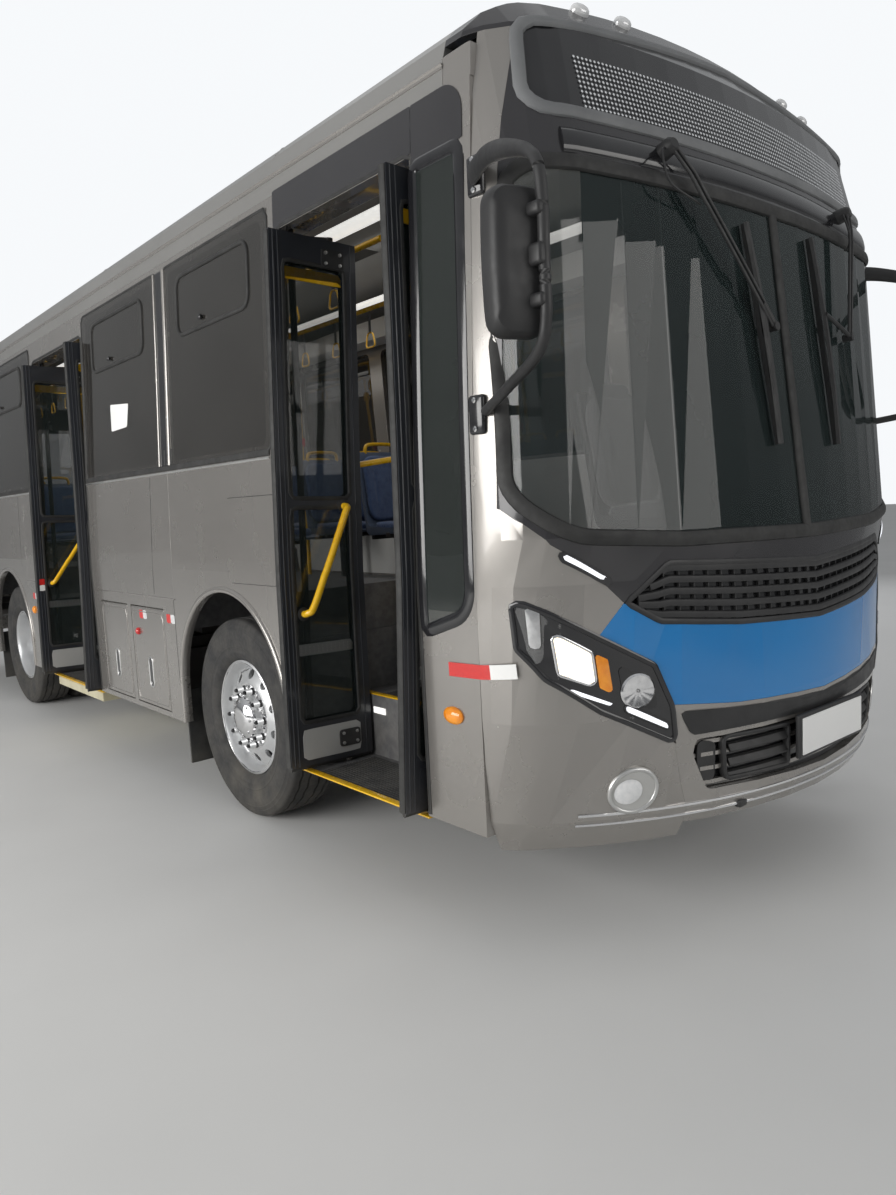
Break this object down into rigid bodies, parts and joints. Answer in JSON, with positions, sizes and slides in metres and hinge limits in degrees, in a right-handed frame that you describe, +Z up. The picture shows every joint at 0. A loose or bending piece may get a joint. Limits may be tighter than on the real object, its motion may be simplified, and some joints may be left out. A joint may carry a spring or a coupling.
{
  "type": "city bus with front engine and gliding doors",
  "caption": "Short high-floor city bus with front engine, inward gliding doors at the front and middle, twin rear tyres, steerable front wheels and opening hatches.",
  "frame": {"origin": "on the ground, midway between the mirrors' foremost point and the rear wall, on the middle plane", "axes": "+Z up, the bus faces -Y, its doors are at -X"},
  "size_m": [3.1908, 9.0001, 3.2254],
  "materials": {
    "body_silver": "warm silver metallic paint",
    "mask_charcoal": "charcoal gloss moulding",
    "panel_blue": "bright blue gloss panel",
    "trim_black": "black moulded plastic",
    "door_black": "black painted door frame with its panes",
    "frame_black": "black chassis paint",
    "engine_iron": "engine as one block",
    "glass_tinted": "tinted glass",
    "lamp_clear": "clear lamp units",
    "lamp_red": "red lamps",
    "floor_grey": "grey floor covering over board",
    "seat_blue": "seat shells with thin pads",
    "driver_cloth": "dark cloth over foam",
    "rail_yellow": "yellow powder coated tube",
    "lift_cream": "cream coated ramp unit",
    "tyre_black": "tyre rubber",
    "rim_silver": "silver steel disc wheel"
  },
  "bodies": {
    "body": {"chassis_frame": "frame_black", "cross_members": "frame_black", "outriggers": "frame_black", "engine_block": "engine_iron", "engine_cover": "trim_black", "drive_shaft": "frame_black", "exhaust": "engine_iron", "tanks": "frame_black", "front_axle": "frame_black", "rear_axle": "frame_black", "leaf_springs": "frame_black", "cabin_floor": "floor_grey", "step_wells": "floor_grey", "wheel_boxes": "floor_grey", "side_wall_right": "body_silver", "side_wall_left": "body_silver", "roof_shell": "body_silver", "rear_wall": "body_silver", "rear_bumper": "body_silver", "tail_lamps": "lamp_red", "front_mask": "mask_charcoal", "front_corners": "body_silver", "front_bumper": "body_silver", "front_grille": "trim_black", "front_panel": "panel_blue", "headlamps": "lamp_clear", "windscreen": "glass_tinted", "destination_sign": "glass_tinted", "side_glass": "glass_tinted", "rear_glass": "glass_tinted", "mirrors": "trim_black", "wipers": "trim_black", "driver_seat": "driver_cloth", "passenger_seats": "seat_blue", "dashboard": "trim_black", "steering_wheel": "trim_black", "grab_rails": "rail_yellow", "lift_platform": "lift_cream"},
    "knuckle_right": {"knuckle_right": "frame_black"},
    "knuckle_left": {"knuckle_left": "frame_black"},
    "front_wheel_right": {"front_tyre_right": "tyre_black", "front_rim_right": "rim_silver"},
    "front_wheel_left": {"front_tyre_left": "tyre_black", "front_rim_left": "rim_silver"},
    "rear_wheels_right": {"rear_tyres_right": "tyre_black", "rear_rims_right": "rim_silver"},
    "rear_wheels_left": {"rear_tyres_left": "tyre_black", "rear_rims_left": "rim_silver"},
    "roof_hatch_front": {"roof_hatch_front": "body_silver"},
    "roof_hatch_rear": {"roof_hatch_rear": "body_silver"},
    "skirt_hatch_front": {"skirt_hatch_front": "body_silver"},
    "skirt_hatch_rear": {"skirt_hatch_rear": "body_silver"},
    "front_door_post_a": {"front_door_post_a": "frame_black"},
    "front_door_leaf_a": {"front_door_leaf_a": "door_black"},
    "front_door_post_b": {"front_door_post_b": "frame_black"},
    "front_door_leaf_b": {"front_door_leaf_b": "door_black"},
    "mid_door_post_a": {"mid_door_post_a": "frame_black"},
    "mid_door_leaf_a": {"mid_door_leaf_a": "door_black"},
    "mid_door_post_b": {"mid_door_post_b": "frame_black"},
    "mid_door_leaf_b": {"mid_door_leaf_b": "door_black"}
  },
  "joints": [
    {"name": "steer_right", "type": "hinge", "parent": "body", "child": "knuckle_right", "pos_m": [-0.95, -2, 0.505], "axis": [0, 0, 1], "range_deg": [-35, 35]},
    {"name": "front_wheel_right_spin", "type": "hinge", "parent": "knuckle_right", "child": "front_wheel_right", "pos_m": [-1.06, -2, 0.505], "axis": [1, 0, 0], "continuous": true},
    {"name": "rear_wheels_right_spin", "type": "hinge", "parent": "body", "child": "rear_wheels_right", "pos_m": [-1.06, 2, 0.505], "axis": [1, 0, 0], "continuous": true},
    {"name": "steer_left", "type": "hinge", "parent": "body", "child": "knuckle_left", "pos_m": [0.95, -2, 0.505], "axis": [0, 0, 1], "range_deg": [-35, 35]},
    {"name": "front_wheel_left_spin", "type": "hinge", "parent": "knuckle_left", "child": "front_wheel_left", "pos_m": [1.06, -2, 0.505], "axis": [1, 0, 0], "continuous": true},
    {"name": "rear_wheels_left_spin", "type": "hinge", "parent": "body", "child": "rear_wheels_left", "pos_m": [1.06, 2, 0.505], "axis": [1, 0, 0], "continuous": true},
    {"name": "front_door_post_a_turn", "type": "hinge", "parent": "body", "child": "front_door_post_a", "pos_m": [-1.14372, -3.56, 1.49742], "axis": [0.0285, 0, 0.9996], "range_deg": [0, 84.52]},
    {"name": "front_door_leaf_a_turn", "type": "hinge", "parent": "front_door_post_a", "child": "front_door_leaf_a", "pos_m": [-0.99526, -3.4905, 1.49319], "axis": [0.0285, 0, 0.9996], "range_deg": [-174.52, 0]},
    {"name": "front_door_post_b_turn", "type": "hinge", "parent": "body", "child": "front_door_post_b", "pos_m": [-1.14372, -2.62, 1.49742], "axis": [0.0285, 0, 0.9996], "range_deg": [-84.52, 0]},
    {"name": "front_door_leaf_b_turn", "type": "hinge", "parent": "front_door_post_b", "child": "front_door_leaf_b", "pos_m": [-0.99526, -2.6895, 1.49319], "axis": [0.0285, 0, 0.9996], "range_deg": [0, 174.52]},
    {"name": "mid_door_post_a_turn", "type": "hinge", "parent": "body", "child": "mid_door_post_a", "pos_m": [-1.14372, -0.12, 1.49742], "axis": [0.0285, 0, 0.9996], "range_deg": [0, 85.77]},
    {"name": "mid_door_leaf_a_turn", "type": "hinge", "parent": "mid_door_post_a", "child": "mid_door_leaf_a", "pos_m": [-0.94959, -0.0505, 1.49189], "axis": [0.0285, 0, 0.9996], "range_deg": [-175.77, 0]},
    {"name": "mid_door_post_b_turn", "type": "hinge", "parent": "body", "child": "mid_door_post_b", "pos_m": [-1.14372, 1, 1.49742], "axis": [0.0285, 0, 0.9996], "range_deg": [-85.77, 0]},
    {"name": "mid_door_leaf_b_turn", "type": "hinge", "parent": "mid_door_post_b", "child": "mid_door_leaf_b", "pos_m": [-0.94959, 0.9305, 1.49189], "axis": [0.0285, 0, 0.9996], "range_deg": [0, 175.77]},
    {"name": "roof_hatch_front_lift", "type": "hinge", "parent": "body", "child": "roof_hatch_front", "pos_m": [0, -1.458, 3.194], "axis": [1, 0, 0], "range_deg": [0, 30]},
    {"name": "roof_hatch_rear_lift", "type": "hinge", "parent": "body", "child": "roof_hatch_rear", "pos_m": [0, 1.942, 3.194], "axis": [1, 0, 0], "range_deg": [0, 30]},
    {"name": "skirt_hatch_front_lift", "type": "hinge", "parent": "body", "child": "skirt_hatch_front", "pos_m": [-1.239, -1.0025, 1.003], "axis": [0, 1, 0], "range_deg": [0, 80]},
    {"name": "skirt_hatch_rear_lift", "type": "hinge", "parent": "body", "child": "skirt_hatch_rear", "pos_m": [-1.239, -0.4675, 1.003], "axis": [0, 1, 0], "range_deg": [0, 80]}
  ],
  "couplings": [
    {"joint": "steer_left", "follows": "steer_right", "ratio": 1},
    {"joint": "front_door_post_b_turn", "follows": "front_door_post_a_turn", "ratio": -1},
    {"joint": "front_door_leaf_a_turn", "follows": "front_door_post_a_turn", "ratio": -2.0648},
    {"joint": "front_door_leaf_b_turn", "follows": "front_door_post_a_turn", "ratio": 2.0648},
    {"joint": "mid_door_post_b_turn", "follows": "mid_door_post_a_turn", "ratio": -1},
    {"joint": "mid_door_leaf_a_turn", "follows": "mid_door_post_a_turn", "ratio": -2.0493},
    {"joint": "mid_door_leaf_b_turn", "follows": "mid_door_post_a_turn", "ratio": 2.0493}
  ]
}
